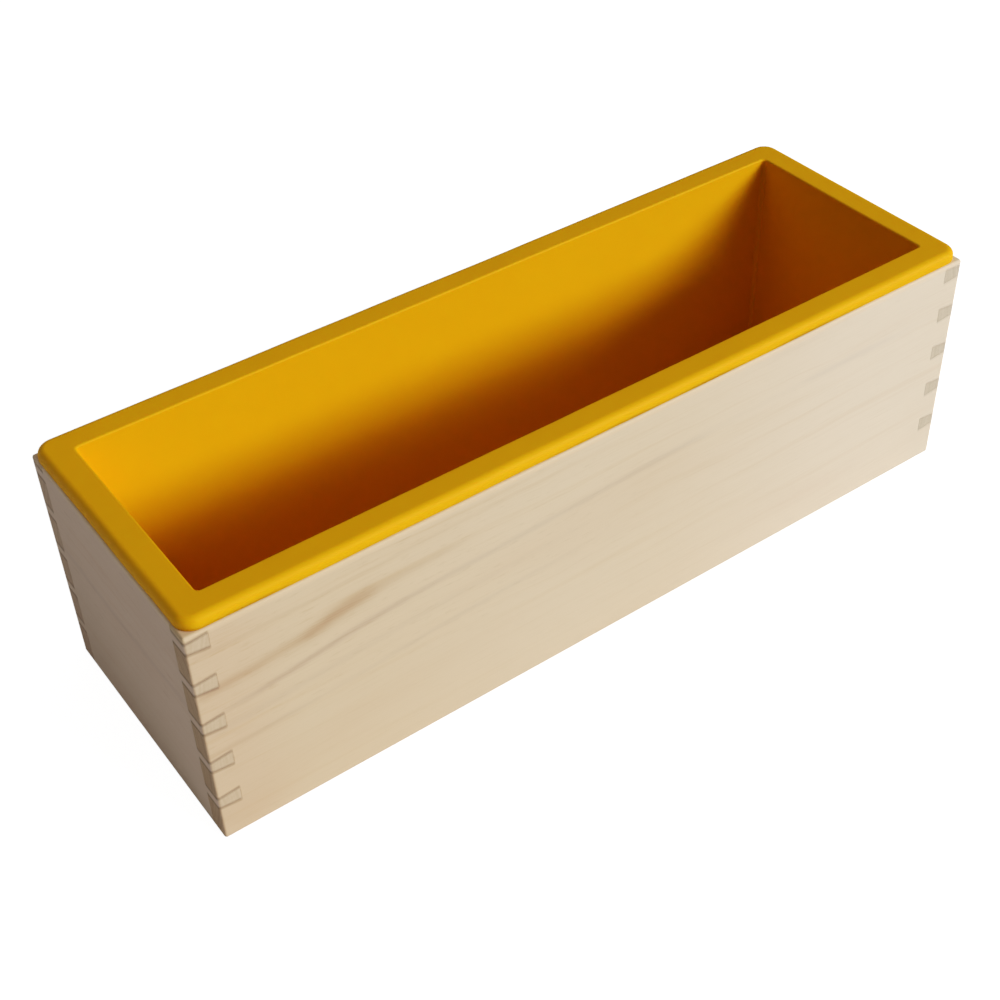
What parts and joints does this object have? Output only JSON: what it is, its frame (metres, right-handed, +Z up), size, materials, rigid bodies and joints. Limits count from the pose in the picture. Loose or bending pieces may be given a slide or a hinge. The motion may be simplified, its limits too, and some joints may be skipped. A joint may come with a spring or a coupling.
{
  "type": "soap loaf mould",
  "caption": "Long dovetailed wooden box with a lift-out flanged silicone liner, for casting a loaf of soap.",
  "frame": {"origin": "middle of the box's underside, level with the boards' bottom edges", "axes": "+X along the box, +Y from the front board to the back board, +Z up out of the mouth"},
  "size_m": [0.28, 0.092, 0.083],
  "materials": {
    "pine": "bare planed pine, sanded smooth",
    "plywood": "bare thin plywood",
    "silicone": "satin warm-yellow silicone"
  },
  "bodies": {
    "box": {"front_panel": "pine", "back_panel": "pine", "left_end_panel": "pine", "right_end_panel": "pine", "base_panel": "plywood"},
    "liner": {"silicone_liner": "silicone"}
  },
  "joints": [
    {"name": "liner_lift", "type": "slide", "parent": "box", "child": "liner", "axis": [0, 0, 1], "range_m": [0, 0.09]}
  ]
}
